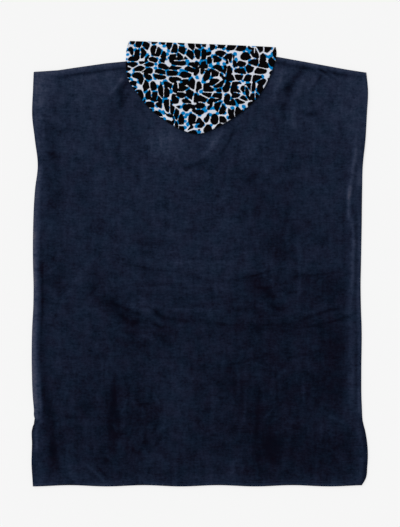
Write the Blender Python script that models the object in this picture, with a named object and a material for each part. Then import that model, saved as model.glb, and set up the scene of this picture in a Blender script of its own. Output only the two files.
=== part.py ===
"""Hooded bath poncho laid flat on its front, with the hood turned down over the back.

Four cut pieces: front panel, back panel and the two halves of the hood. Lengths are millimetres
until a mesh is made. X runs across the garment, +Y towards the hood and +Z up from the surface
that it lies on. The origin is on that surface, under the middle of the whole garment.
"""

import math
from collections import namedtuple

import bpy
import numpy as np
from mathutils import Vector
from mathutils.bvhtree import BVHTree

MM = 0.001
TINY = 1e-6

# Cloth and its layers. A "mid" is the height of the middle of a layer's wall.
CLOTH = 2.4
HALF = CLOTH / 2
GAP = 0.3
SEAM_GAP = 0.5      # between the walls' middles along the hood's centre seam, whose cloth leans in a little
LAYER = CLOTH + GAP
FRONT_MID = HALF
BACK_MID = FRONT_MID + LAYER

# The body's outline: distance out from the centre line, at each height up the garment.
Side = namedtuple("Side", "place height left right")
SIDES = (
    Side("hem corner", -568, 427, 415),
    Side("over the hem", -554, 427.8, 423.5),
    Side("slit, low", -520, 430, 428.7),
    Side("slit, high", -462, 429, 428.4),
    Side("under the slit's end", -425, 428.5, 422),
    Side("just under the slit's end", -414, 425, 419),
    Side("slit's end", -404.5, 418, 417),
    Side("just over the slit's end", -396, 422.8, 416),
    Side("over the slit", -375, 424.2, 415),
    Side("thigh, low", -343, 427, 413.6),
    Side("thigh", -280, 429.4, 413.2),
    Side("hip", -171, 428.8, 414.2),
    Side("belly", -105, 425.5, 412.2),
    Side("waist, low", -60, 425, 411.5),
    Side("waist", 0, 426.6, 412.6),
    Side("ribs", 85, 426.3, 414.2),
    Side("under the arm", 187, 421.5, 415.6),
    Side("arm opening's end", 251, 414.3, 417.2),
    Side("arm opening, low", 315, 421.5, 423.8),
    Side("arm opening, middle", 379, 428.6, 427.5),
    Side("arm opening, high", 443, 426.5, 430.4),
    Side("shoulder corner", 489, 424.6, 426),
)

# The shoulder line, from the left corner to the left neck point, and on from the right one.
Shoulder = namedtuple("Shoulder", "place across height")
SHOULDERS = (
    Shoulder("left corner", -424, 489),
    Shoulder("left, outer", -362, 493),
    Shoulder("left, middle", -316, 500),
    Shoulder("left, inner", -239, 511),
    Shoulder("left neck point", -155, 519),
    Shoulder("right neck point", 160, 533),
    Shoulder("right, inner", 201, 527),
    Shoulder("right, middle", 283, 512),
    Shoulder("right, outer", 375, 495),
    Shoulder("right corner", 427, 487),
)
NECK_LEFT, NECK_RIGHT = -155, 160
FRONT_NECK_DROP = 62
BACK_NECK_DROP = 20
NECK_ROUNDNESS = 2.4
NECK_CORNER = 7

HEM_HEIGHT = -570
HEM_WAVE, HEM_WAVE_LENGTH = 1.6, 190

# Folds of the back panel, each a soft ridge (height over 0) or trough (under 0) along a bowed line.
Fold = namedtuple("Fold", "name x0 y0 x1 y1 bow reach height")
FOLDS = (
    Fold("left edge roll, upper", -413, 470, -404, 262, 8, 16, 1.6),
    Fold("left edge roll, lower", -413, 110, -415, -402, 2, 17, 2.6),
    Fold("left edge trough", -395, 90, -396, -380, 2, 20, -1.4),
    Fold("right side ridge, top", 411, 345, 387, 150, -6, 26, 2.6),
    Fold("right side ridge, middle", 387, 180, 389, -140, 4, 24, 2.8),
    Fold("right side band, low", 394, -120, 394, -430, 0, 34, 2.4),
    Fold("left shoulder seam", -415, 480, -185, 504, -2, 18, 1.8),
    Fold("right shoulder seam", 215, 512, 418, 477, 2, 18, 1.8),
    Fold("left neck ridge", -228, 500, -214, 418, 6, 26, 2.8),
    Fold("right neck ridge", 216, 500, 206, 402, -8, 28, 3.0),
    Fold("right neck fold, outer", 292, 498, 238, 400, -14, 30, 2.4),
    Fold("right shoulder swell", 352, 488, 330, 400, 8, 44, 1.8),
    Fold("left arm crease", -416, 296, -352, 262, 4, 22, -1.0),
    Fold("tip swell, left", -150, 322, -30, 282, -10, 42, 2.2),
    Fold("tip swell, right", 72, 330, 0, 262, 8, 30, 2.4),
    Fold("tip crease", 96, 350, 44, 270, 6, 24, -1.0),
    Fold("upper back swell", -300, 200, -120, 150, 20, 70, 1.4),
    Fold("chest crease", -100, -20, 386, -24, -14, 30, -1.2),
    Fold("chest ridge", -210, 8, 372, -2, -16, 36, 2.6),
    Fold("belly ridge, left", -245, -92, -50, -118, -12, 32, 2.8),
    Fold("belly ridge, right", -60, -120, 400, -104, -22, 36, 3.4),
    Fold("belly crease", -130, -132, 405, -138, -24, 30, -1.2),
    Fold("skirt fold, far left", -352, -300, -345, -560, 6, 40, 2.2),
    Fold("skirt fold, left", -186, -300, -196, -560, -8, 44, 3.0),
    Fold("skirt trough, left", -232, -280, -222, -560, 6, 30, -1.2),
    Fold("skirt fold, middle", 60, -300, 30, -540, 10, 60, 2.0),
    Fold("skirt fold, right", 232, -330, 226, -560, -6, 46, 2.6),
    Fold("skirt trough, right", 166, -340, 172, -500, 4, 34, -1.2),
    Fold("hip swell, right", 290, -180, 262, -300, 8, 60, 1.8),
)
FOLD_RUN_OUT = 0.25 # of a fold's length, over which it rises at either end
LOFT = 1.3          # the air between the panels away from their edges
LOFT_REACH = 60     # over which it rises from the edge
HEM_WIDTH, HEM_STEP, HEM_RISE = 12, 6, 0.8  # the turned hems of the bottom, slits and arm openings
SLIT_END_HEIGHT, ARM_END_HEIGHT = -404.5, 251
COVER_FALL, COVER_SHARE = 36, 0.4           # how the folds die away in under the hood's edge

# The hood's outline on each side, from the corner of its mouth to its tip.
HoodEdge = namedtuple("HoodEdge", "place left_x left_y right_x right_y")
HOOD_EDGES = (
    HoodEdge("mouth corner", -181, 568, 195, 552),
    HoodEdge("over the shoulder", -188, 545, 197, 539),
    HoodEdge("on the shoulder", -189, 520, 195, 523),
    HoodEdge("side, high", -188, 492, 187, 498),
    HoodEdge("side, middle", -181, 465, 174, 466),
    HoodEdge("side, low", -160, 434, 150, 426),
    HoodEdge("cheek", -130, 397, 122, 398),
    HoodEdge("jaw", -95, 369, 84, 370),
    HoodEdge("beside the tip", -48, 341, 42, 346),
    HoodEdge("tip's round", -22, 332, 12, 333),
    HoodEdge("tip", -6, 330, -6, 330),
)
MOUTH_MIDDLE = (6, 560)
MOUTH_TILT = (552 - 568) / (195 + 181)
TIP = (-6, 330)
FAN_END_HEIGHT = 402    # where the sections that fan round the tip start from
FRONT_SEAM_END, NAPE_SEAM_START = 541, 522  # on the centre seam, at the two necklines
FOLD_INNER_GAP = 0.6
FOLD_RADIUS = (CLOTH + FOLD_INNER_GAP) / 2
FOLD_CELLS = 4
PUFF, PUFF_REACH = 2.6, 34  # how far the upper layer swells up, and how far in from its side fold
SIDE_BLEND = 60         # from the side fold, over which the upper layer stops following its edge
FRONT_EDGE, NAPE_EDGE = 0.65, 0.14  # of the strip between shoulder line and mouth
FRONT_SECTIONS = 3
NAPE_SECTIONS = 16
NAPE_SEAM_REACH = 0.27  # of the nape's sections, over which they stop following its seam
UPPER_CELLS = 11
UPPER_CROWDING = 1.5    # over 1, the upper layer's columns crowd towards its side fold
OUTER_CELLS = 2         # of the under layer, between the side fold and the neck point
NECK_SHIFT_SHARE = 1 / 6    # of the under layer, over which the front rows' columns shift to the neck's
CENTRE_CLEAR = 5        # no column of the under layer lies nearer to the centre seam
GROUND_REACH = 16       # a layer clears all that lies this near below it
GROUND_PROBES = 8
PROBE_START = 1         # metres up, from where the layers below are found
EDGE_SAMPLES = 400      # of the hood's outline, where a place on it is looked up

# Spacing of the panels' sections.
EDGE_STEPS = (0, 6, 14, 26, 44)
PITCH = 20
NECK_PITCH = 20
SLIT_MARKS = (-425, -414, -404.5, -396, -375)

NAVY = (0.012, 0.017, 0.030, 1)
PRINT = (0.30, 0.33, 0.40, 1)
VELOUR_ROUGHNESS = 0.95
FLAT_ANGLE = 0.5        # degrees, under which two faces of a plain piece count as one


# ---- Curves ----------------------------------------------------------------------------------


def smoothstep(value):
    value = np.clip(value, 0, 1)
    return value * value * (3 - 2 * value)


def spline(keys, values, at):
    """A smooth curve through values at keys, read at the places in at."""
    keys, values = np.asarray(keys, float), np.asarray(values, float)
    slopes = np.gradient(values, keys, axis=0)
    at = np.clip(np.asarray(at, float), keys[0], keys[-1])
    cell = np.clip(np.searchsorted(keys, at, side="right") - 1, 0, len(keys) - 2)
    span = keys[cell + 1] - keys[cell]
    t = (at - keys[cell]) / span
    if values.ndim > 1:
        t, span = t[:, None], span[:, None]
    rise = t * t * (3 - 2 * t)
    pull = t * (1 - t)
    start, end = values[cell], values[cell + 1]
    bend = (1 - t) * slopes[cell] - t * slopes[cell + 1]
    return start + (end - start) * rise + span * pull * bend


def stations(low, high, pitch, marks=()):
    """Places from low to high: close together at both ends, then about a pitch apart, and at each mark."""
    stops = sorted({low + EDGE_STEPS[-1], high - EDGE_STEPS[-1], *marks})
    places = [low + step for step in EDGE_STEPS[:-1]]
    for start, end in zip(stops, stops[1:]):
        count = max(1, round((end - start) / pitch))
        places += list(np.linspace(start, end, count, endpoint=False))
    return np.array(places + [high - step for step in reversed(EDGE_STEPS)])


# ---- Panels ----------------------------------------------------------------------------------


def side_track(column, heights):
    return spline([row.height for row in SIDES], [getattr(row, column) for row in SIDES], heights)


def hem_height(across):
    return HEM_HEIGHT + HEM_WAVE * np.sin(2 * math.pi * across / HEM_WAVE_LENGTH)


def shoulder_height(across):
    """The shoulder line on both sides. Between the neck points it is a straight line."""
    return np.interp(across, [row.across for row in SHOULDERS], [row.height for row in SHOULDERS])


def top_height(across, neck_drop):
    """A panel's top edge: the shoulder line, with the neckline dipping between the neck points."""
    middle, half = (NECK_RIGHT + NECK_LEFT) / 2, (NECK_RIGHT - NECK_LEFT) / 2
    out = np.clip(np.abs(across - middle) / half, 0, 1)
    return shoulder_height(across) - neck_drop * (1 - out**NECK_ROUNDNESS)


def neck_columns():
    """The columns of a panel, as distances across its top edge: they meet the hood's in the neckline."""
    left, right = SHOULDERS[0].across, SHOULDERS[-1].across
    neck = np.linspace(NECK_LEFT, NECK_RIGHT, round((NECK_RIGHT - NECK_LEFT) / NECK_PITCH) + 1)
    corners = (NECK_LEFT + NECK_CORNER, NECK_RIGHT - NECK_CORNER)
    return stations(left, right, PITCH, marks=(*neck, *corners))


def panel_plan(neck_drop):
    """A panel's points in plan, rows from hem to shoulder, blended between its four edges."""
    columns = neck_columns()
    u = (columns - columns[0]) / (columns[-1] - columns[0])
    heights = stations(SIDES[0].height, SIDES[-1].height, PITCH, marks=SLIT_MARKS)
    v = (heights - heights[0]) / (heights[-1] - heights[0])
    left = np.stack([-side_track("left", heights), heights], -1)
    right_heights = heights[0] + v * (SHOULDERS[-1].height - heights[0])
    right = np.stack([side_track("right", right_heights), right_heights], -1)
    hem_across = left[0, 0] + u * (right[0, 0] - left[0, 0])
    hem = np.stack([hem_across, hem_height(hem_across)], -1)
    top = np.stack([columns, top_height(columns, neck_drop)], -1)
    left[0], right[0] = hem[0], hem[-1]
    left[-1], right[-1] = top[0], top[-1]
    u, v = u[None, :, None], v[:, None, None]
    sides = (1 - u) * left[:, None] + u * right[:, None]
    ends = (1 - v) * hem[None] + v * top[None]
    corners = (1 - v) * ((1 - u) * hem[0] + u * hem[-1]) + v * ((1 - u) * top[0] + u * top[-1])
    return sides + ends - corners


def fold_height(fold, x, y):
    """A fold's height at x, y: a rounded ridge about its bowed line, which runs out at both ends."""
    along_x, along_y = fold.x1 - fold.x0, fold.y1 - fold.y0
    length = math.hypot(along_x, along_y)
    t = ((x - fold.x0) * along_x + (y - fold.y0) * along_y) / length**2
    aside = ((y - fold.y0) * along_x - (x - fold.x0) * along_y) / length
    off = np.abs(aside - fold.bow * 4 * t * (1 - t)) / fold.reach
    across = np.where(off < 1, np.cos(np.clip(off, 0, 1) * math.pi / 2) ** 2, 0)
    return fold.height * across * smoothstep(t / FOLD_RUN_OUT) * smoothstep((1 - t) / FOLD_RUN_OUT)


def side_distance(x, y):
    return np.minimum(x + side_track("left", y), side_track("right", y) - x)


def edge_distance(x, y):
    """How far in a point of the back panel lies from its sides, hem or shoulder line."""
    return np.minimum.reduce([side_distance(x, y), shoulder_height(x) - y, y - hem_height(x)])


def hood_cover(x, y):
    """1 well under the hood, where the back panel lies plain, falling to 0 outside it."""
    left, right = (hood_edge(half, np.linspace(0, 1, EDGE_SAMPLES))[::-1] for half in ("left", "right"))
    from_left = x - np.interp(y, left[:, 1], left[:, 0])
    from_right = np.interp(y, right[:, 1], right[:, 0]) - x
    beside = np.where(x < centre_across(y), from_left, from_right)
    inside = np.minimum(beside, y - TIP[1])
    return smoothstep(inside / COVER_FALL + COVER_SHARE)


def relief(x, y):
    """How high the folds lift the back panel off the front one."""
    lift = LOFT * smoothstep(edge_distance(x, y) / LOFT_REACH)
    lift = lift + sum(fold_height(fold, x, y) for fold in FOLDS)
    return np.maximum(lift, 0) * (1 - hood_cover(x, y))


def hem_rise(x, y):
    """The rise of the cloth turned under along the bottom, the side slits and the arm openings."""
    hemmed_side = (y < SLIT_END_HEIGHT) | (y > ARM_END_HEIGHT)
    from_bottom = y - hem_height(x)
    from_edge = np.where(hemmed_side, np.minimum(side_distance(x, y), from_bottom), from_bottom)
    return HEM_RISE * (1 - smoothstep((from_edge - HEM_WIDTH) / HEM_STEP))


# ---- Hood ------------------------------------------------------------------------------------


def hood_edge(half, t):
    """The hood's outline on one side, at t from 0 at its mouth to 1 at its tip."""
    points = [(getattr(row, half + "_x"), getattr(row, half + "_y")) for row in HOOD_EDGES]
    steps = np.hypot(*np.diff(np.array(points, float), axis=0).T)
    lengths = np.concatenate([[0], np.cumsum(steps)])
    return spline(lengths / lengths[-1], points, t)


def centre_across(y):
    """The hood's centre seam, in plan a straight line from the middle of its mouth to its tip."""
    return np.interp(y, [TIP[1], MOUTH_MIDDLE[1]], [TIP[0], MOUTH_MIDDLE[0]])


def mouth_height(x):
    return MOUTH_MIDDLE[1] + (x - MOUTH_MIDDLE[0]) * MOUTH_TILT


def edge_parameter(half, height):
    """Where on the outline a given height lies."""
    t = np.linspace(0, 1, EDGE_SAMPLES)
    return float(np.interp(-height, -hood_edge(half, t)[:, 1], t))


def hood_sections(half):
    """Each section's start on the centre seam and its end on the outline, mouth first, tip last."""
    corner, on_shoulder = HOOD_EDGES[0], HOOD_EDGES[2]
    shoulder_y = float(shoulder_height(getattr(on_shoulder, half + "_x")))
    strip = getattr(corner, half + "_y") - shoulder_y
    front_end = edge_parameter(half, shoulder_y + FRONT_EDGE * strip)
    nape_start = edge_parameter(half, shoulder_y + NAPE_EDGE * strip)
    t = np.concatenate([np.linspace(0, front_end, FRONT_SECTIONS), np.linspace(nape_start, 1, NAPE_SECTIONS)])
    marks = [MOUTH_MIDDLE[1], FRONT_SEAM_END, NAPE_SEAM_START, FAN_END_HEIGHT]
    heights = np.interp(t, [0, front_end, nape_start, 1], marks)
    starts = np.stack([centre_across(heights), heights], -1)
    return starts, hood_edge(half, t)


def under_stations(half, fold_x, centre_x):
    """Where across the under layer's points lie, from side fold to centre: they meet the neck's columns."""
    columns = neck_columns()
    if half == "left":
        neck_x = NECK_LEFT
        inner = columns[(columns > neck_x - TINY) & (columns < centre_x - CENTRE_CLEAR)]
    else:
        neck_x = NECK_RIGHT
        inner = columns[(columns < neck_x + TINY) & (columns > centre_x + CENTRE_CLEAR)][::-1]
    outer = np.linspace(fold_x, neck_x, OUTER_CELLS, endpoint=False)
    return np.concatenate([outer, inner, [centre_x]])


class Ground:
    """The top of the layers below, for whatever lies on them."""

    def __init__(self, below):
        graph = bpy.context.evaluated_depsgraph_get()
        self.tree = BVHTree.FromObject(below, graph)

    def height_at(self, x, y):
        """The top of the layer below at x, y, or 0 where only the floor is."""
        hit = self.tree.ray_cast(Vector((x * MM, y * MM, PROBE_START)), Vector((0, 0, -1)))[0]
        return hit.z / MM if hit else 0

    def height(self, x, y):
        """The highest point of the layer below within reach of x, y."""
        angles = np.linspace(0, 2 * math.pi, GROUND_PROBES, endpoint=False)
        around = [(x + GROUND_REACH * math.cos(a), y + GROUND_REACH * math.sin(a)) for a in angles]
        return max(self.height_at(*place) for place in [(x, y), *around])


def under_plan(half, starts, fold_starts):
    """Plan points of the under layer: the front rows run to the front neckline, the rest to the nape.

    Also gives the first column that lies in the neck.
    """
    side = -1 if half == "left" else 1
    front_end, nape_start = FRONT_SECTIONS - 1, FRONT_SECTIONS
    fold_x, centre_x = fold_starts[nape_start, 0], starts[nape_start, 0]
    places = under_stations(half, fold_x, centre_x)
    share = (places - fold_x) / (centre_x - fold_x)
    plan = fold_starts[:, None] + (starts - fold_starts)[:, None] * share[None, :, None]
    neck_column = OUTER_CELLS
    in_neck = np.arange(len(places)) >= neck_column
    past_corner = np.arange(len(places)) > neck_column
    panel_x = neck_columns()
    front_seam = np.interp(places, panel_x, top_height(panel_x, FRONT_NECK_DROP)) + GAP
    nape_seam = np.interp(places, panel_x, top_height(panel_x, BACK_NECK_DROP)) - GAP
    front_pull = np.where(past_corner, front_seam - plan[front_end, :, 1], 0)
    front_shift = (places - plan[front_end, :, 0]) * smoothstep(share / NECK_SHIFT_SHARE)
    nape_pull = np.where(in_neck, nape_seam - plan[nape_start, :, 1], 0)
    rows = np.arange(len(starts))
    front_keep = np.where(rows <= front_end, rows / front_end, 0)[:, None]
    nape_share = (rows - nape_start) / (NAPE_SECTIONS - 1)
    nape_keep = np.where(rows >= nape_start, 1 - smoothstep(nape_share / NAPE_SEAM_REACH), 0)[:, None]
    plan[..., 1] += front_keep * front_pull + nape_keep * nape_pull
    plan[..., 0] += front_keep * front_shift
    plan[:, -1, 0] = centre_across(plan[:, -1, 1]) + side * SEAM_GAP / 2
    return plan, neck_column


def upper_height(upper, fold_start, side_mid):
    """Middle of the upper layer: over its side fold at the edge, puffed up further in."""
    from_fold = np.linalg.norm(fold_start - upper, axis=1)
    below_mouth = mouth_height(upper[:, 0]) - upper[:, 1]
    strip = mouth_height(upper[:, 0]) - shoulder_height(upper[:, 0])
    open_mid = FRONT_MID + 2 * LAYER * smoothstep(below_mouth / strip / (1 - NAPE_EDGE))
    blend = smoothstep(from_fold / SIDE_BLEND)
    height = (1 - blend) * side_mid + blend * open_mid + 2 * FOLD_RADIUS
    return height + PUFF * (1 - np.exp(-((from_fold / PUFF_REACH) ** 2)))


def hood_half(half, ground):
    """Grid of the middle of one half's wall: across its upper layer, round the side fold and back under.

    Also gives the first column that lies in the neck.
    """
    side = -1 if half == "left" else 1
    starts, ends = hood_sections(half)
    starts[:, 0] += side * SEAM_GAP / 2
    ends[-1, 0] = starts[-1, 0] + centre_across(ends[-1, 1]) - centre_across(starts[-1, 1])
    way = (ends - starts) / np.linalg.norm(ends - starts, axis=1)[:, None]
    fold_starts = ends - way * (HALF + FOLD_RADIUS)
    under, neck_column = under_plan(half, starts, fold_starts)
    share = 1 - (1 - np.linspace(0, 1, UPPER_CELLS + 1)) ** UPPER_CROWDING
    angles = np.linspace(math.pi / 2, -math.pi / 2, FOLD_CELLS + 1)
    grid = []
    for index, (start, fold_start) in enumerate(zip(starts, fold_starts)):
        upper = start + (fold_start - start) * share[:, None]
        if index < FRONT_SECTIONS:
            under_mid = np.full(len(under[index]), FRONT_MID)
        else:
            under_mid = np.array([ground.height(x, y) for x, y in under[index]]) + GAP + HALF
        upper_mid = upper_height(upper, fold_start, under_mid[0])
        fold_plan = fold_start + way[index] * (FOLD_RADIUS * np.cos(angles))[:, None]
        fold_mid = under_mid[0] + FOLD_RADIUS * (1 + np.sin(angles))
        plan = np.concatenate([upper[:-1], fold_plan, under[index][1:]])
        height = np.concatenate([upper_mid[:-1], fold_mid, under_mid[1:]])
        grid.append(np.column_stack([plan, height]))
    return np.array(grid), UPPER_CELLS + FOLD_CELLS + neck_column


# ---- Objects ---------------------------------------------------------------------------------


def clear_scene():
    for existing in list(bpy.data.objects):
        bpy.data.objects.remove(existing, do_unlink=True)


def velour(name, colour):
    material = bpy.data.materials.new(name)
    material.use_nodes = True
    shader = material.node_tree.nodes["Principled BSDF"]
    shader.inputs["Base Color"].default_value = colour
    shader.inputs["Roughness"].default_value = VELOUR_ROUGHNESS
    shader.inputs["Metallic"].default_value = 0
    material.diffuse_color = colour
    return material


def cloth_object(name, grid, material, left_out=(), flip=False, plain=False):
    """A cloth wall about a grid of points, less the cells in left_out. Plain ones lose their flat edges."""
    rows, columns = grid.shape[:2]
    faces = []
    for row in range(rows - 1):
        for column in range(columns - 1):
            if (row, column) in left_out:
                continue
            first = row * columns + column
            face = (first, first + 1, first + columns + 1, first + columns)
            faces.append(face[::-1] if flip else face)
    mesh = bpy.data.meshes.new(name)
    mesh.from_pydata((grid.reshape(-1, 3) * MM).tolist(), [], faces)
    mesh.shade_smooth()
    mesh.materials.append(material)
    piece = bpy.data.objects.new(name, mesh)
    bpy.context.scene.collection.objects.link(piece)
    if plain:
        dissolve = piece.modifiers.new("flat", "DECIMATE")
        dissolve.decimate_type = "DISSOLVE"
        dissolve.angle_limit = math.radians(FLAT_ANGLE)
    wall = piece.modifiers.new("cloth", "SOLIDIFY")
    wall.thickness = CLOTH * MM
    wall.offset = 0
    bpy.context.view_layer.update()
    return piece


def make_front_panel(material):
    plan = panel_plan(FRONT_NECK_DROP)
    grid = np.concatenate([plan, np.full(plan.shape[:2] + (1,), FRONT_MID)], -1)
    return cloth_object("front_panel", grid, material, plain=True)


def make_back_panel(material):
    plan = panel_plan(BACK_NECK_DROP)
    x, y = plan[..., 0], plan[..., 1]
    height = BACK_MID + relief(x, y) + hem_rise(x, y)
    return cloth_object("back_panel", np.concatenate([plan, height[..., None]], -1), material)


def make_hood_half(half, ground, material):
    grid, neck = hood_half(half, ground)
    seam_row = FRONT_SECTIONS - 1
    neckline = {(seam_row, column) for column in range(neck, grid.shape[1] - 1)}
    return cloth_object(f"hood_{half}", grid, material, left_out=neckline, flip=half == "right")


def main():
    clear_scene()
    navy = velour("navy_velour", NAVY)
    printed = velour("printed_velour", PRINT)
    make_front_panel(navy)
    ground = Ground(make_back_panel(navy))
    for half in ("left", "right"):
        make_hood_half(half, ground, printed)


main()
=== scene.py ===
"""Looks of the hooded bath poncho: cloth shells, creases, sewing, velour and print.

Lengths are millimetres until a mesh is made. X runs across the garment, +Y towards the hood and +Z
up from the surface that it lies on. Each shell follows its solid's outline, layers and folds, and
adds finer creases, rounded edges and stitching.
"""

import math
from collections import namedtuple

import bpy
import numpy as np
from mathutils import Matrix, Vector
from mathutils.bvhtree import BVHTree

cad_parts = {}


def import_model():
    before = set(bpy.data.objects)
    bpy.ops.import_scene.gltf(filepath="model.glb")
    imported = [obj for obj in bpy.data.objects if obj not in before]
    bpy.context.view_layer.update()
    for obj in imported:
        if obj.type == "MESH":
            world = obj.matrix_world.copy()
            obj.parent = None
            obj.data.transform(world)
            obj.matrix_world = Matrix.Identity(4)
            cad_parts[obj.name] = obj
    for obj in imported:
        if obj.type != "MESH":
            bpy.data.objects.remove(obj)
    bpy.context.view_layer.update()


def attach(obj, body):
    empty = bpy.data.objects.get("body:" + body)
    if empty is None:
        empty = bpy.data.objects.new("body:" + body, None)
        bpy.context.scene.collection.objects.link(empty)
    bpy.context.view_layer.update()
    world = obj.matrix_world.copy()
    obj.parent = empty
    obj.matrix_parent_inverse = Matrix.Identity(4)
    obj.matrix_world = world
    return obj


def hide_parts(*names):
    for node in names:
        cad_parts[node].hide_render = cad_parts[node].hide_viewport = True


def table(columns, text):
    """A table's rows from lines that give each one's name, a colon, and its value in every column."""
    row = namedtuple("Row", "name " + columns)
    lines = (line.split(": ") for line in text.strip().splitlines())
    return [row(name, *map(float, values.split())) for name, values in lines]


def column(rows, name):
    return [getattr(row, name) for row in rows]


MM = 0.001
TINY = 1e-6

# Cloth and its layers, as in the solids. A "mid" is the height of the middle of a layer's wall.
CLOTH = 2.4
HALF = CLOTH / 2
GAP = 0.3
SEAM_GAP = 0.5
LAYER = CLOTH + GAP
FRONT_MID = CLOTH / 2
BACK_MID = FRONT_MID + LAYER

# In the names of rows, L and R are the garment's left and right as seen from above.
# The body's outline: distance out from the centre line, at each height up the garment.
SIDES = table("height left right", """
hem corner: -568 427 415
over the hem: -554 427.8 423.5
slit, low: -520 430 428.7
slit, high: -462 429 428.4
under the slit's end: -425 428.5 422
just under the slit's end: -414 425 419
slit's end: -404.5 418 417
just over the slit's end: -396 422.8 416
over the slit: -375 424.2 415
thigh, low: -343 427 413.6
thigh: -280 429.4 413.2
hip: -171 428.8 414.2
belly: -105 425.5 412.2
waist, low: -60 425 411.5
waist: 0 426.6 412.6
ribs: 85 426.3 414.2
under the arm: 187 421.5 415.6
arm opening's end: 251 414.3 417.2
arm opening, low: 315 421.5 423.8
arm opening, middle: 379 428.6 427.5
arm opening, high: 443 426.5 430.4
shoulder corner: 489 424.6 426
""")
SLIT_END_HEIGHT, ARM_END_HEIGHT = -404.5, 251

# The shoulder line, from the left corner to the left neck point, and on from the right one.
SHOULDERS = table("across height", """
L corner: -424 489
L, outer: -362 493
L, middle: -316 500
L, inner: -239 511
L neck point: -155 519
R neck point: 160 533
R, inner: 201 527
R, middle: 283 512
R, outer: 375 495
R corner: 427 487
""")
NECK_LEFT, NECK_RIGHT = -155, 160
FRONT_NECK_DROP, BACK_NECK_DROP = 62, 20
NECK_ROUNDNESS = 2.4
HEM_HEIGHT = -570
HEM_WAVE, HEM_WAVE_LENGTH = 1.6, 190

# Folds of the back panel, each a soft ridge (height over 0) or trough (under 0) along a bowed line.
FOLD_COLUMNS = "x0 y0 x1 y1 bow reach height"
FOLDS = table(FOLD_COLUMNS, """
L edge roll, upper: -413 470 -404 262 8 16 1.6
L edge roll, lower: -413 110 -415 -402 2 17 2.6
L edge trough: -395 90 -396 -380 2 20 -1.4
R side ridge, top: 411 345 387 150 -6 26 2.6
R side ridge, middle: 387 180 389 -140 4 24 2.8
R side band, low: 394 -120 394 -430 0 34 2.4
L shoulder seam: -415 480 -185 504 -2 18 1.8
R shoulder seam: 215 512 418 477 2 18 1.8
L neck ridge: -228 500 -214 418 6 26 2.8
R neck ridge: 216 500 206 402 -8 28 3.0
R neck fold, outer: 292 498 238 400 -14 30 2.4
R shoulder swell: 352 488 330 400 8 44 1.8
L arm crease: -416 296 -352 262 4 22 -1.0
tip swell, L: -150 322 -30 282 -10 42 2.2
tip swell, R: 72 330 0 262 8 30 2.4
tip crease: 96 350 44 270 6 24 -1.0
upper back swell: -300 200 -120 150 20 70 1.4
chest crease: -100 -20 386 -24 -14 30 -1.2
chest ridge: -210 8 372 -2 -16 36 2.6
belly ridge, L: -245 -92 -50 -118 -12 32 2.8
belly ridge, R: -60 -120 400 -104 -22 36 3.4
belly crease: -130 -132 405 -138 -24 30 -1.2
skirt fold, far L: -352 -300 -345 -560 6 40 2.2
skirt fold, L: -186 -300 -196 -560 -8 44 3.0
skirt trough, L: -232 -280 -222 -560 6 30 -1.2
skirt fold, middle: 60 -300 30 -540 10 60 2.0
skirt fold, R: 232 -330 226 -560 -6 46 2.6
skirt trough, R: 166 -340 172 -500 4 34 -1.2
hip swell, R: 290 -180 262 -300 8 60 1.8
""")
FOLD_END = 0.25
LOFT, LOFT_REACH = 1.3, 60

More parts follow.
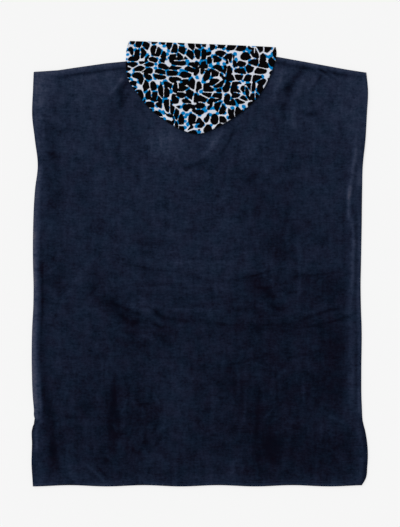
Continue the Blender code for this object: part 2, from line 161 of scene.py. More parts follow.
# Finer creases of the back panel, which only these looks have: each bends the cloth by its height and
# is painted lighter (shade over 0) or darker along its line: painted highlights on crests, painted shade
# and shadows in creases.
CREASES = table(FOLD_COLUMNS + " shade", """
L edge line, low: -403 -54 -405 -248 2 6 -.9 -.05
L edge line, high: -405 100 -403 -59 -3 8 -.6 -.08
L arm edge line: -395 456 -387 289 5 12 -.5 -.06
L arm line: -416 287 -357 269 3 13 -.6 -.12
L shoulder line: -366 476 -170 502 -1 6 -1.2 -.2
under the L shoulder: -382 471 -300 476 0 8 -.3 -.1
L neck streak: -190 486 -234 428 2 7 .7 .4
L neck streak, outer: -216 484 -239 451 2 6 .4 .06
L neck fold: -175 471 -221 420 -2 14 -1.2 -.24
L neck fold, low: -201 448 -201 387 2 11 -.6 -.24
L yoke streak: -331 410 -275 420 2 6 .4 .05
L yoke streak, inner: -295 445 -239 438 -2 6 .4 .07
R neck streak: 219 497 183 402 -3 11 .9 .23
R neck fold: 276 509 206 430 2 16 -1.5 -.27
R neck fold, low: 235 458 214 389 2 12 -1.2 -.17
R neck fold's end: 209 420 217 361 0 12 -.6 -.18
R neck fold's far side: 268 484 250 420 2 10 .7 .12
R pucker: 301 484 276 440 2 11 .7 .16
R pucker's shadow: 317 489 283 438 0 7 -.5 -.15
R drag's shadow: 299 502 352 466 1 5 -.5 -.12
R drag: 286 502 342 463 1 5 .5 .24
R drag, outer: 304 504 360 466 1 5 .4 .2
R shoulder line: 186 509 406 475 2 10 -1.0 -.15
R shoulder spot: 240 404 240 338 0 13 .6 .18
R shoulder dent: 250 381 314 384 0 16 -.7 -.19
tip crease: 91 348 43 264 4 8 -.9 -.22
tip crease, low: 38 274 -50 238 3 14 -.7 -.17
tip crest: 58 346 2 264 5 11 .8 .22
R crest, top: 406 346 391 264 -1 7 1.2 .14
R crest, chest: 404 320 379 146 0 8 1.4 .43
R crest, ribs: 383 207 383 100 -2 7 1.4 .42
R crest, waist: 386 120 396 26 2 7 1.4 .3
R crest, belly: 393 74 388 -95 0 8 1.4 .3
R crest, low: 388 -74 386 -172 1 12 .8 .16
R crest, thigh: 388 -141 388 -381 1 14 .8 .12
R edge line: 404 141 401 -110 3 7 -.8 -.08
R edge line, low: 401 -151 401 -389 2 8 -.7 -.08
chest line, L: -206 0 -108 -20 1 5 -.7 -.17
chest line, mid: -129 -13 22 -31 -2 5 -.7 -.15
chest line, R: 89 -41 201 -13 -3 5 -.7 -.14
chest line, far R: 222 -36 381 -18 -3 5 -.8 -.12
belly line, far L: -234 -92 -172 -131 -2 11 -1.1 -.12
belly line, L: -198 -113 -121 -151 3 9 -.9 -.11
belly line, mid L: -124 -113 -80 -146 -3 10 -1.1 -.16
belly line, mid: -96 -138 -9 -151 -3 6 -.4 -.08
belly line, R: -11 -154 273 -154 -4 7 -.7 -.09
belly line, far R: 237 -154 386 -110 4 8 -.9 -.13
belly line, at the edge: 304 -159 419 -123 -2 6 -.6 -.09
belly line, under: 94 -166 273 -161 -3 6 -.3 -.02
belly crest, L: -162 -105 -106 -113 2 8 .7 .03
belly crest, mid: -85 -123 43 -123 3 8 .9 .13
waist crest: -254 -95 -172 -69 2 10 .5 .05
waist crest, L: -321 -69 -288 8 3 14 .6 .07
hip line, R: 219 -246 324 -223 1 6 -.7 -.11
hip line, mid: 61 -264 186 -233 -1 6 -.7 -.11
hip line, L: -29 -297 22 -302 1 5 .5 .07
rib, far L: 40 69 40 -105 1 11 .4 .06
rib, L: 117 69 119 -44 1 8 .4 .09
rib, mid: 189 51 186 -79 -2 8 .4 .08
rib, R: 255 69 255 -110 1 8 .5 .13
skirt band, L: -218 -269 -221 -509 2 22 -.7 -.08
skirt glint, L: -183 -340 -201 -387 1 5 .5 .13
skirt glint, L low: -167 -422 -183 -509 -2 6 .5 .08
skirt edge, L: -93 -340 -90 -489 1 8 .5 .04
skirt band, far L: -393 -300 -372 -556 3 18 -.6 -.08
slit line, L: -357 -392 -270 -394 -2 7 -.8 -.12
skirt mark, L: -160 -361 -124 -361 0 6 -.5 -.15
skirt mark, L low: -160 -489 -137 -448 0 6 -.5 -.12
skirt band, R: 148 -300 140 -474 3 12 -.6 -.11
skirt glint, R: 122 -356 96 -448 2 7 .5 .08
skirt column, R: 35 -294 32 -422 1 12 .5 .08
skirt drag, R: 183 -315 227 -264 1 7 .7 .12
skirt drag, R low: 160 -404 191 -374 1 7 .6 .13
skirt column, far R: 265 -274 265 -371 1 8 .5 .09
skirt line, far R: 304 -374 391 -417 -3 8 .6 .1
hem drag, one: -293 -515 -239 -566 2 5 .6 .16
hem drag, one's shadow: -270 -515 -229 -561 2 5 -.6 -.16
hem drag, two: -242 -489 -213 -517 1 4.5 .5 .13
hem drag, three: -341 -499 -323 -561 1 8 .5 .08
hem drag, four: -126 -520 -139 -556 0 5 -.5 -.12
hem drag, five: 94 -494 78 -550 1 9 .6 .12
""")

# Faint marks scattered over the back panel, brushed or pressed into the cloth: how many, where, and
# which way they run in degrees from across, give or take a spread.
MARKS = table("count x0 x1 y0 y1 turn spread longest height seed", """
waist: 70 -260 180 -100 90 0 5 220 .55 21
belly: 50 -390 390 -190 -60 0 8 170 .42 26
chest: 44 -390 390 60 240 0 10 110 .36 27
skirt, across: 44 -390 390 -480 -200 0 16 120 .36 22
skirt, down: 34 -380 380 -520 -230 88 10 150 .44 23
hem drags: 34 -390 390 -556 -490 -48 24 70 .5 24
yoke: 56 -390 390 200 470 20 60 90 .36 25
puckers, L: 30 -250 -100 -200 -90 -15 60 44 .95 28
puckers, R: 22 140 240 -120 90 5 50 44 .8 29
puckers, L skirt: 34 -230 -100 -490 -320 70 80 44 .7 30
puckers, far L: 16 -385 -260 -80 20 20 90 40 .7 31
""")
MARK_SHORTEST, MARK_REACHES, MARK_STRAIGHTNESS = 30, (4.5, 9), 14

# Patches of lighter (shade over 0) or darker nap: some where the nap lies another way, others painted
# shade about folds, puckers and seams, and painted highlights on swells.
NAP_AND_PAINTED_SHADE_PATCHES = table("x y wide tall turn shade", """
L shoulder corner: -403 456 24 62 0 .31
L shoulder, dark: -375 433 26 30 0 -.05
L arm corner: -400 387 22 28 0 .1
under the L shoulder: -270 451 80 36 0 .08
L yoke, light: -306 402 48 30 0 .1
L yoke, dark: -226 387 22 50 8 -.12
L neck, dark: -198 435 16 22 0 -.06
R neck, dark: 214 435 16 26 -20 -.1
R shoulder corner: 401 448 24 50 0 .08
R shoulder, dark: 258 430 44 30 -10 -.07
under the R shoulder seam: 314 476 62 16 -10 -.12
R shoulder, light: 383 394 38 36 0 .12
R neck, light: 209 492 16 9 -20 .12
R yoke, light: 391 361 20 60 0 .07
R yoke, dark: 242 320 34 34 0 -.09
R yoke, dark low: 232 269 26 14 0 -.08
L of the tip: -93 317 38 32 0 .3
below the tip: -85 276 60 20 0 .12
R of the tip: 38 317 20 36 -35 .16
R of the tip's fold: 119 297 40 36 0 .08
L arm, dark: -375 264 16 70 0 -.12
L ribs, dark: -370 172 26 86 0 -.1
L ribs, light: -336 115 26 28 0 .08
upper chest, dark: 132 220 34 34 0 -.12
upper chest, light: -80 238 40 40 0 .04
R chest, dark: 186 166 84 56 0 -.11
R chest, dark low: 217 97 70 40 0 -.06
L chest, dark: -137 64 26 50 0 -.08
mid of the chest, light: -93 141 20 38 0 .08
L chest, dark high: -180 166 28 30 0 -.09
mid of the waist: -88 -31 120 40 0 .03
L waist, dark: -362 -51 13 24 0 -.14
L waist, light: -382 -120 22 30 0 .08
L waist, dark edge: -354 -8 26 56 0 -.06
L waist, dark inner: -272 -59 22 32 0 -.12
L waist, dark low: -224 -90 30 20 0 -.09
under the mid of the chest: -137 -31 30 40 0 -.11
R ribs, dark: 206 26 36 46 0 -.16
mid of the ribs, light: 55 97 26 110 0 .07
R ribs, dark low: 148 -54 34 34 0 -.14
R ribs, blot: 181 -82 14 9 -20 -.21
R waist, dark: 324 -79 64 50 0 -.07
above the R belly line: 171 -125 92 18 0 -.14
pucker, L: -216 -113 44 24 -15 -.18
pucker, under the L: -178 -151 26 12 -20 -.14
pucker, L low: -183 -189 26 28 0 -.13
pucker, mid low: -147 -212 26 24 0 -.07
pucker, R: -111 -138 14 20 0 -.15
pucker, R low: -93 -192 24 26 10 -.14
hip, light L: -306 -182 80 70 0 .06
hip, dark L: -323 -197 22 14 0 -.06
hip, light L low: -341 -264 46 30 0 .07
thigh, dark L: -259 -243 18 12 0 -.06
hip, dark R: 350 -207 60 60 0 -.1
hip, light mid: 40 -223 60 40 0 .04
skirt, far L: -382 -361 20 40 0 -.05
skirt, far L low: -372 -479 17 44 0 -.1
skirt, far L inner: -341 -428 20 40 0 -.1
skirt, dark above: -285 -369 30 12 0 -.1
skirt, light L: -290 -438 40 34 0 .02
skirt, L band: -216 -402 20 84 0 -.06
skirt, L band's inside: -185 -428 32 84 0 -.15
skirt, L inner: -124 -422 32 50 0 -.03
skirt, light L of the mid: -119 -253 24 40 0 .08
skirt, light L low: -114 -509 46 22 0 .1
skirt, dark at the L hem: -247 -504 30 16 0 -.08
skirt, light at the L hem: -318 -525 28 24 0 .08
skirt, light mid: -62 -361 34 130 0 .1
skirt, light mid high: -37 -284 22 30 0 .08
skirt, light low mid: 2 -525 50 30 0 .09
skirt, dark mid: 58 -481 24 26 0 -.09
skirt, light at the hem: 86 -512 34 26 0 .1
skirt, R of the mid: 86 -310 34 52 0 -.1
skirt, dark R: 199 -471 46 42 5 -.15
skirt, dark R high: 227 -364 22 40 0 -.08
skirt, R low: 160 -530 40 18 0 .03
skirt, dark far R: 340 -330 50 34 0 -.06
skirt, light far R: 329 -412 50 28 0 .06
skirt, corner: 378 -520 36 34 0 .08
""")

# The general shade at each height, partly the nap's tone and partly a painted falloff of light from
# the top left: lighter at the shoulders than at the hem.
NAP_AND_PAINTED_FALLOFF = table("height left right", """
hem: -570 .155 .09
skirt: -400 .16 .1
hip: -230 .2 .135
belly: -100 .22 .17
waist: 30 .28 .25
chest: 200 .315 .305
yoke: 380 .36 .36
shoulders: 500 .44 .42
""")
SHADE_WIDTH = 600

# Painted highlights (shade over 0) and painted shadows along the edges, over a roll, a hem or a seam:
# how far in, and from where to where along the edge.
EDGE_LINE_COLUMNS = "inset reach start end shade"
PAINTED_EDGE_LIGHT = {
    "left": table(EDGE_LINE_COLUMNS, """
L arm hem: 6 27 258 520 .28
L arm hem's inner line: 10 4 270 470 .08
L ribs: 1 19 60 262 .72
L roll: 0 19 -408 90 .92
L roll, low: 9 18 -420 -240 .32
L roll's inner line: 18 4 -404 -290 .3
L roll's inner line, high: 16 4 0 120 .16
L roll's shadow: 22 7 -290 10 -.14
L roll's low shadow: 27 8 -404 -290 -.05
L slit hem: 16 34 -590 -406 .09
L slit hem's line: 12 4 -530 -410 .1
L slit's end: 10 10 -492 -398 .34
"""),
    "right": table(EDGE_LINE_COLUMNS, """
R arm hem: 6 9 318 500 .13
R edge: 5 10 -400 142 .29
R edge, chest: 7 14 182 264 .3
R band, low: 22 34 -590 -50 .12
R slit hem: 16 14 -580 -404 .1
"""),
    "top": table(EDGE_LINE_COLUMNS, """
L shoulder edge: 3 10 -440 -150 .26
L shoulder seam: 17 7 -380 -165 -.12
under the L shoulder seam: 30 11 -340 -170 .1
R shoulder edge: 2 7 150 440 .26
R shoulder seam: 14 8 180 410 -.14
"""),
    "hem": table(EDGE_LINE_COLUMNS, """
hem's edge: 4 6 -440 430 .22
hem's turned cloth: 16 24 -440 430 .09
"""),
}
EDGE_LINE_FADE = 26

# Painted shade from relief: how much lighter marks and folds are painted on their crests, and darker
# in their troughs, for each millimetre of their height.
MARK_SHADE, FOLD_SHADE = 0.15, 0.03

# The front panel's creases, pressed up from the surface, and its nap: the back's, softened, with its
# painted light and shade, and the creases painted lighter by their height, a painted highlight.
FRONT_CREASES = table(FOLD_COLUMNS, """
chest, L: -330 210 -60 170 16 12 .7
chest, R: 40 150 340 196 -14 12 .7
under the neck: -120 420 90 400 -18 12 .6
belly, L: -380 -60 -90 -96 12 13 .8
belly, R: 20 -110 372 -84 -16 13 .8
skirt, L: -240 -220 -268 -520 10 14 .8
skirt, middle: -20 -190 12 -480 -10 13 .7
skirt, R: 236 -240 268 -520 10 14 .8
hip drag: -180 -20 60 40 8 10 .5
L side: -392 180 -396 -340 4 10 .5
R side: 384 160 386 -350 -4 10 .5
""")
FRONT_NAP, FRONT_NAP_SHARE, FRONT_CREASE_SHADE = 0.12, 0.6, 0.12

# The hood's outline on each side, from the corner of its mouth to its tip.
HOOD_EDGES = table("left_x left_y right_x right_y", """
mouth corner: -181 568 195 552
over the shoulder: -188 545 197 539
on the shoulder: -189 520 195 523
side, high: -188 492 187 498
side, middle: -181 465 174 466
side, low: -160 434 150 426
cheek: -130 397 122 398
jaw: -95 369 84 370
beside the tip: -48 341 42 346
tip's round: -22 332 12 333
tip: -6 330 -6 330
""")
MOUTH_CORNERS, SHOULDER_POINTS = HOOD_EDGES[0], HOOD_EDGES[2]
MOUTH_MIDDLE = (6, 560)
MOUTH_TILT = (MOUTH_CORNERS.right_y - MOUTH_CORNERS.left_y) / (MOUTH_CORNERS.right_x - MOUTH_CORNERS.left_x)
TIP = (-6, 330)
FOLD_INNER_GAP = 0.6
FOLD_RADIUS = (CLOTH + FOLD_INNER_GAP) / 2
PUFF, PUFF_REACH = 2.6, 34
SIDE_BLEND, CREASE_BLEND = 60, 30
NAPE_SEAM_REACH = 0.27
NECK_STEEPNESS = 6
GROUND_REACH, GROUND_WAYS = 16, 8
COVER_FALL, COVER_SHARE = 36, 0.4

# The hood's sections: heights where they start on its centre seam, and shares of the way from the
# shoulder line up to the mouth's corner, where the front rows end and the nape's begin on its outline.
FRONT_SEAM_END, NAPE_SEAM_START, FAN_END_HEIGHT = 541, 522, 402
FRONT_EDGE, NAPE_EDGE = 0.65, 0.14

# Creases of the hood's upper layer.
HOOD_CREASES = table(FOLD_COLUMNS, """
crown dent, L: -110 540 -92 400 -8 26 -1.2
crown swell, L: -62 545 -54 420 6 30 .9
crown dent, R: 96 540 88 430 8 24 -1.1
crown swell, R: 140 520 118 430 6 26 .8
mouth drag, L: -150 556 -60 520 6 16 -.7
mouth drag, R: 168 540 90 512 -6 16 -.7
tip pinch: -40 372 24 368 -6 14 -.8
nape drag: -90 430 40 440 10 20 .7
""")
HOOD_SWELL_SHARE = 0.8
SEAM_DIP, SEAM_REACH = 1.1, 5

# Hems: the cloth turned under and stitched down.
HEM_WIDTH, HEM_RISE, HEM_STEP = 12, 0.8, 3
UNSEWN = 4 * HEM_WIDTH
STITCH_DIP, STITCH_DIP_REACH = 0.5, 1.4
STITCH_LENGTH, STITCH_PAUSE, STITCH_RADIUS = 3.2, 0.9, 0.28
STITCH_SIDES, STITCH_RINGS = 6, 4
STITCH_END = 0.35
STITCH_LIFT, UNDER_STITCH_LIFT = 0.1, 0.3
HEM_ROW, MOUTH_ROW, SHOULDER_ROWS = (-415, 407), (-182, 192), ((-412, -196), (200, 414))
HEM_ROW_POINTS, MOUTH_ROW_POINTS, ROW_POINTS = 400, 200, 120
ROW_PAUSE, ARM_ROW_PAUSE = 2, 6

# Resolution of the shells.
EDGE_STEPS = (0, 1, 2.5, 4.5, 7, 9.5, 11, 12, 13, 14.5, 17, 20)
BACK_PITCH, FRONT_PITCH = 3.6, 4.6
HIDDEN_BLOCK = 4
RIM_ANGLES = (50, 18, -18, -50)
RIM_RADIUS, RIM_INSET = 1.0, 0.3
FRONT_ROWS, BRIDGE_ROWS, NAPE_ROWS = 10, 5, 52
UPPER_CELLS, FOLD_CELLS, OUTER_CELLS, INNER_CELLS = 52, 8, 9, 34
UPPER_CROWDING = 1.5
OUTLINE_POINTS = 400

# Undulations of the cloth: random, but the same in each run.
SWELLS = table("wavelength stretch height seed", """
broad: 150 1.3 .35 11
soft: 60 1.5 .22 12
small: 24 1.8 .11 13
ribbed: 11 4.0 .06 14
""")
HOOD_SWELLS = SWELLS[1:]
SWELL_WAVES, SWELL_SPREAD = 26, (0.7, 1.5)
SWELL_FADE = 0.15

# Colours, as the shaders' linear values.
WHITE = (1, 1, 1, 1)
NAVY_DARK_TEAL = (0.0011, 0.0019, 0.0060, 1)
NAVY_DARK_VIOLET = (0.0025, 0.0018, 0.0059, 1)
NAVY_TEAL = (0.0142, 0.0364, 0.0841, 1)
NAVY_VIOLET = (0.0186, 0.0347, 0.0841, 1)
# The lightest navy, greyer than the rest: a painted sheen on the lightest nap.
NAVY_PAINTED_SHEEN = (0.0300, 0.0381, 0.0690, 1)
NAVY_SHEEN = (0.42, 0.52, 0.80, 1)
NAVY_THREAD = (0.010, 0.015, 0.034, 1)
BLACK = (0.0014, 0.0010, 0.0014, 1)
PALE = (0.66, 0.69, 0.77, 1)
BLUE = (0.000, 0.195, 0.50, 1)
PALE_SHEEN = (0.7, 0.75, 0.9, 1)
BLACK_THREAD = (0.010, 0.010, 0.012, 1)
THREAD_GLEAM, THREAD_FIBRE = 1.8, 2.0
FLOOR_COLOUR, FLOOR_GLOW = (0.20, 0.20, 0.20, 1), 0.72
FLOOR_DROP, FLOOR_SIZE = 0.3, 40000

# Noises of the navy velour: features of a size in mm, stretched across the cloth, and weighted in the
# nap's shade. The bump is the pile's, with some of the rows and fibres. A noise outside these tables
# has the same numbers, without a weight.
NOISE_COLUMNS = "size stretch detail roughness shift weight"
NAVY_NOISES = table(NOISE_COLUMNS, """
broad patches: 110 1 3 .5 0 .26
small patches: 24 1 3 .5 7.3 .34
streaks along: 60 .2 2 .5 1.7 .24
streaks across: 9 3 2 .5 4.4 .22
rows: 3.4 4 2 .5 3.1 .26
pile: 6 1 2 .5 0 .34
fibres: 1.5 .6 2 .6 6.6 .40
""")
ROWS_BUMP, FIBRES_BUMP = 1.2, 0.6
UNEVEN_SHARE, UNEVEN_WITH_NAP, SHADE_EASE = 0.38, 1.95, 0.12
HUE_NOISE, HUE_SPREAD = (40, 1, 3, 0.5, 5.9), 0.32

# Noises of the print: they swell its pebbles and dabs, and shade its pile and its cloth.
PRINT_NOISES = table(NOISE_COLUMNS, """
pebbles: 20 1 2 .5 2.2 .10
dabs: 13 1 2 .5 9.1 .45
pile: 1.4 1 2 .7 0 .35
cloth: 30 1 3 .5 0 .25
""")
REGION_NOISE, REGION_EASE = (62, 1, 1, 0.5, 8.6), 0.04
BLACK_EDGE, BLUE_EDGE, PRINT_LIGHT = (-0.021, 0.022), (0.40, 0.34), 0.95

# The print: its pebbles and dabs in each metre, and how far noises of a scale move them, in metres.
UPRIGHT_PEBBLES, UPRIGHT_TURN = (57, 30, 1), 0.25
LYING_PEBBLES, LYING_TURN = (33, 59, 1), 0.20
DABS = (70, 70, 1)
PRINT_MOVES = ((7, 0.030), (40, 0.004), (620, 0.0022))
PEBBLE_EVENNESS = 0.7
PEBBLE_INSET, PEBBLE_REACH, PEBBLE_ROUND, PEBBLE_EASE = 0.05, 0.54, 0.8, 0.12
PILE_BUMP = 0.35

# Stage: the camera looks straight down, and its long side covers VIEW_HEIGHT.
VIEW_HEIGHT = 1349
VIEW_CENTRE = (0.7, -1.3)
VIEW_PLANE = 6
LENS, SENSOR = 85, 36
SURROUND_STRENGTH = 0.58
LAMP_STRENGTH, LAMP_WIDTH, LAMP_WAY = 1.86, 38, (0.62, -0.70, -1.0)


# ---- Curves ----


def smoothstep(value):
    value = np.clip(value, 0, 1)
    return value * value * (3 - 2 * value)


def spline(keys, values, at):
    """A smooth curve through values at keys, read at the places in at."""
    keys, values = np.array(keys), np.array(values)
    slopes = np.gradient(values, keys)
    at = np.clip(at, keys[0], keys[-1])
    cell = np.clip(np.searchsorted(keys, at, side="right") - 1, 0, len(keys) - 2)
    span = keys[cell + 1] - keys[cell]
    t = (at - keys[cell]) / span
    rise = values[cell + 1] - values[cell]
    bend = (1 - t) * slopes[cell] - t * slopes[cell + 1]
    return values[cell] + rise * smoothstep(t) + span * (t * (1 - t)) * bend


def stations(low, high, pitch):
    """Places from low to high: close together at both ends, then about a pitch apart."""
    steps = np.array(EDGE_STEPS, float)
    inner = low + steps[-1], high - steps[-1]
    middle = np.linspace(*inner, round((inner[1] - inner[0]) / pitch) + 1)
    return np.concatenate([low + steps[:-1], middle, high - steps[-2::-1]])


def swell(x, y, kind):
    """A smooth random surface about 0, from waves that run every way, longer across than along."""
    random = np.random.default_rng(int(kind.seed))
    total = np.zeros(np.broadcast(x, y).shape)
    for _ in range(SWELL_WAVES):
        angle = random.uniform(0, math.pi)
        turns = 2 * math.pi / (kind.wavelength * random.uniform(*SWELL_SPREAD))
        phase = random.uniform(0, 2 * math.pi)
        across = x * math.cos(angle) / kind.stretch
        total += np.cos(turns * (across + y * math.sin(angle)) + phase)
    return kind.height * total / math.sqrt(SWELL_WAVES / 2)


def ridge(height, off, place, start, end, fade):
    """A rounded ridge: full height where off is 0, none where it is 1, and fading in at both ends."""
    across = np.cos(np.clip(np.abs(off), 0, 1) * math.pi / 2) ** 2
    return height * across * smoothstep((place - start) / fade) * smoothstep((end - place) / fade)


def fold_height(fold, x, y):
    """A fold's height at x, y: a ridge about its bowed line."""
    along_x, along_y = fold.x1 - fold.x0, fold.y1 - fold.y0
    length = math.hypot(along_x, along_y)
    t = ((x - fold.x0) * along_x + (y - fold.y0) * along_y) / length**2
    aside = ((y - fold.y0) * along_x - (x - fold.x0) * along_y) / length
    off = (aside - fold.bow * 4 * t * (1 - t)) / fold.reach
    return ridge(fold.height, off, t, 0, 1, FOLD_END)


def folds_height(folds, x, y):
    return sum(fold_height(fold, x, y) for fold in folds)


# ---- Outline ----


def side_track(side, heights):
    return spline(column(SIDES, "height"), column(SIDES, side), heights)


def hem_height(across):
    return HEM_HEIGHT + HEM_WAVE * np.sin(2 * math.pi * across / HEM_WAVE_LENGTH)


def shoulder_height(across):
    """The shoulder line on both sides. Between the neck points it is a straight line."""
    return np.interp(across, column(SHOULDERS, "across"), column(SHOULDERS, "height"))


def top_height(across, neck_drop):
    """A panel's top edge: the shoulder line, with the neckline dipping between the neck points."""
    middle, half = (NECK_RIGHT + NECK_LEFT) / 2, (NECK_RIGHT - NECK_LEFT) / 2
    out = np.clip(np.abs(across - middle) / half, 0, 1)
    return shoulder_height(across) - neck_drop * (1 - out**NECK_ROUNDNESS)


def panel_plan(neck_drop, pitch):
    """A panel's points in plan, rows from hem to shoulder, blended between its four edges."""
    columns = stations(SHOULDERS[0].across, SHOULDERS[-1].across, pitch)
    heights = stations(SIDES[0].height, SIDES[-1].height, pitch)
    u, v = ((places - places[0]) / (places[-1] - places[0]) for places in (columns, heights))
    left = np.stack([-side_track("left", heights), heights], -1)
    right_heights = heights[0] + v * (SHOULDERS[-1].height - heights[0])
    right = np.stack([side_track("right", right_heights), right_heights], -1)
    hem_across = left[0, 0] + u * (right[0, 0] - left[0, 0])
    hem = np.stack([hem_across, hem_height(hem_across)], -1)
    top = np.stack([columns, top_height(columns, neck_drop)], -1)
    left[0], right[0] = hem[0], hem[-1]
    left[-1], right[-1] = top[0], top[-1]
    u, v = u[None, :, None], v[:, None, None]
    sides = (1 - u) * left[:, None] + u * right[:, None]
    ends = (1 - v) * hem[None] + v * top[None]
    corners = (1 - v) * ((1 - u) * hem[0] + u * hem[-1]) + v * ((1 - u) * top[0] + u * top[-1])
    return sides + ends - corners


def side_distance(x, y):
    return np.minimum(x + side_track("left", y), side_track("right", y) - x)


def edge_distance(x, y):
    """How far in a point of the back panel lies from its sides, hem or shoulder line."""
    return np.minimum.reduce([side_distance(x, y), shoulder_height(x) - y, y - hem_height(x)])


# ---- Back and front panels ----


def hood_cover(x, y):
    """1 well under the hood, where the back panel lies plain, falling to 0 outside it."""
    t = np.linspace(0, 1, OUTLINE_POINTS)
    left, right = (hood_edge(half, t)[::-1] for half in ("left", "right"))
    beside = np.where(x < centre_across(y), x - np.interp(y, left[:, 1], left[:, 0]),
                      np.interp(y, right[:, 1], right[:, 0]) - x)
    return smoothstep(np.minimum(beside, y - TIP[1]) / COVER_FALL + COVER_SHARE)


def sewn_hem(x, y):
    """The rise of the turned hems and the dip under their stitches: bottom, slits and arm openings."""
    sewn_side = (y < SLIT_END_HEIGHT) | (y > ARM_END_HEIGHT)
    from_side = np.where(sewn_side, side_distance(x, y), UNSEWN)
    past_hem = np.minimum(from_side, y - hem_height(x)) - HEM_WIDTH
    dip = STITCH_DIP * np.exp(-((past_hem / STITCH_DIP_REACH) ** 2))
    return HEM_RISE * (1 - smoothstep(past_hem / HEM_STEP)) - dip


def scattered_folds():
    """The faint marks as folds: random, but the same in each run."""
    fold, folds = namedtuple("Fold", FOLD_COLUMNS), []
    for marks in MARKS:
        random = np.random.default_rng(int(marks.seed))
        for _ in range(int(marks.count)):
            x, y = random.uniform(marks.x0, marks.x1), random.uniform(marks.y0, marks.y1)
            turn = math.radians(random.normal(marks.turn, marks.spread / 2))
            half = random.uniform(MARK_SHORTEST, marks.longest) / 2
            along_x, along_y = half * math.cos(turn), half * math.sin(turn)
            reach, height = random.uniform(*MARK_REACHES), random.uniform(-1, 1) * marks.height
            bow = random.normal(0, half / MARK_STRAIGHTNESS)
            folds.append(fold(x - along_x, y - along_y, x + along_x, y + along_y, bow, reach, height))
    return folds


def back_height(x, y):
    """Middle of the back panel's wall, never lower than it lies on the front panel."""
    inward, bare = edge_distance(x, y) / LOFT_REACH, 1 - hood_cover(x, y)
    relief = np.maximum(LOFT * smoothstep(inward) + folds_height(FOLDS, x, y), 0) * bare
    creases = folds_height(CREASES, x, y) + folds_height(scattered_folds(), x, y)
    fine = creases + smoothstep(inward + SWELL_FADE) * sum(swell(x, y, kind) for kind in SWELLS)
    return BACK_MID + np.maximum(relief + fine * bare, 0) + sewn_hem(x, y)


# A patch's tone: the nap's own, or painted shade, or a painted highlight.
def patch_shade(patch, x, y):
    turn = math.radians(patch.turn)
    across = (x - patch.x) * math.cos(turn) + (y - patch.y) * math.sin(turn)
    along = (y - patch.y) * math.cos(turn) - (x - patch.x) * math.sin(turn)
    return patch.shade * np.exp(-((across / patch.wide) ** 2) - (along / patch.tall) ** 2)


# A painted highlight or painted shadow along an edge.
def edge_line_shade(line, inward, along):
    off = (inward - line.inset) / line.reach
    return ridge(line.shade, off, along, line.start, line.end, EDGE_LINE_FADE)


def back_nap_and_painted_light(x, y):
    """The back panel's nap tone, with painted light and shade: general falloff, patches, creases, folds and
    edges.
    """
    heights = column(NAP_AND_PAINTED_FALLOFF, "height")
    left, right = (np.interp(y, heights, column(NAP_AND_PAINTED_FALLOFF, side)) for side in ("left", "right"))
    shade = left + (right - left) * smoothstep(x / SHADE_WIDTH + 0.5)
    shade = shade + sum(patch_shade(patch, x, y) for patch in NAP_AND_PAINTED_SHADE_PATCHES)
    shade = shade + sum(crease.shade / crease.height * fold_height(crease, x, y) for crease in CREASES)
    shade = shade + FOLD_SHADE * folds_height(FOLDS, x, y)
    shade = shade + MARK_SHADE * folds_height(scattered_folds(), x, y)
    places = {
        "left": (x + side_track("left", y), y),
        "right": (side_track("right", y) - x, y),
        "top": (shoulder_height(x) - y, x),
        "hem": (y - hem_height(x), x),
    }
    return shade + sum(
        edge_line_shade(line, *places[edge]) for edge, lines in PAINTED_EDGE_LIGHT.items() for line in lines)


def front_height(x, y):
    """Middle of the front panel's wall: flat on the surface, but for shallow creases pressed up."""
    spare = smoothstep(edge_distance(x, y) / LOFT_REACH)
    return FRONT_MID + spare * np.maximum(folds_height(FRONT_CREASES, x, y), 0) * (1 - hood_cover(x, y))


# The front's nap with painted light and shade: the back's mirrored and softened, its creases painted
# lighter.
def front_nap_and_painted_light(x, y):
    creases = FRONT_CREASE_SHADE * folds_height(FRONT_CREASES, x, y)
    return back_nap_and_painted_light(-x, y) * FRONT_NAP_SHARE + FRONT_NAP + creases


# ---- Hood ----


def hood_edge(half, t):
    """The hood's outline on one side, at t from 0 at its mouth to 1 at its tip."""
    x, y = (column(HOOD_EDGES, f"{half}_{axis}") for axis in "xy")
    lengths = np.concatenate([[0], np.hypot(np.diff(x), np.diff(y)).cumsum()])
    return np.column_stack([spline(lengths / lengths[-1], values, t) for values in (x, y)])


def centre_across(y):
    """The hood's centre seam, in plan a straight line from the middle of its mouth to its tip."""
    return np.interp(y, [TIP[1], MOUTH_MIDDLE[1]], [TIP[0], MOUTH_MIDDLE[0]])


def mouth_height(x):
    return MOUTH_MIDDLE[1] + (x - MOUTH_MIDDLE[0]) * MOUTH_TILT


def hood_sections(half):
    """Each section's start on the centre seam and its end on the outline, mouth first, tip last.

    Also gives how far it is through the front rows, the bridge to the nape, and the nape's rows.
    """
    mouth_y = getattr(MOUTH_CORNERS, half + "_y")
    shoulder_y = float(shoulder_height(getattr(SHOULDER_POINTS, half + "_x")))
    t = np.linspace(0, 1, OUTLINE_POINTS)
    outline_y = hood_edge(half, t)[:, 1]
    front_end, nape_start = (float(np.interp(-(shoulder_y + share * (mouth_y - shoulder_y)), -outline_y, t))
                             for share in (FRONT_EDGE, NAPE_EDGE))
    t = np.concatenate([
        np.linspace(0, front_end, FRONT_ROWS, endpoint=False),
        np.linspace(front_end, nape_start, BRIDGE_ROWS, endpoint=False),
        np.linspace(nape_start, 1, NAPE_ROWS),
    ])
    marks = [MOUTH_MIDDLE[1], FRONT_SEAM_END, NAPE_SEAM_START, FAN_END_HEIGHT]
    heights = np.interp(t, [0, front_end, nape_start, 1], marks)
    starts = np.stack([centre_across(heights), heights], -1)
    bridge = smoothstep((t - front_end) / (nape_start - front_end))
    nape = np.clip((t - nape_start) / (1 - nape_start), 0, 1)
    return starts, hood_edge(half, t), np.clip(t / front_end, 0, 1), bridge, nape


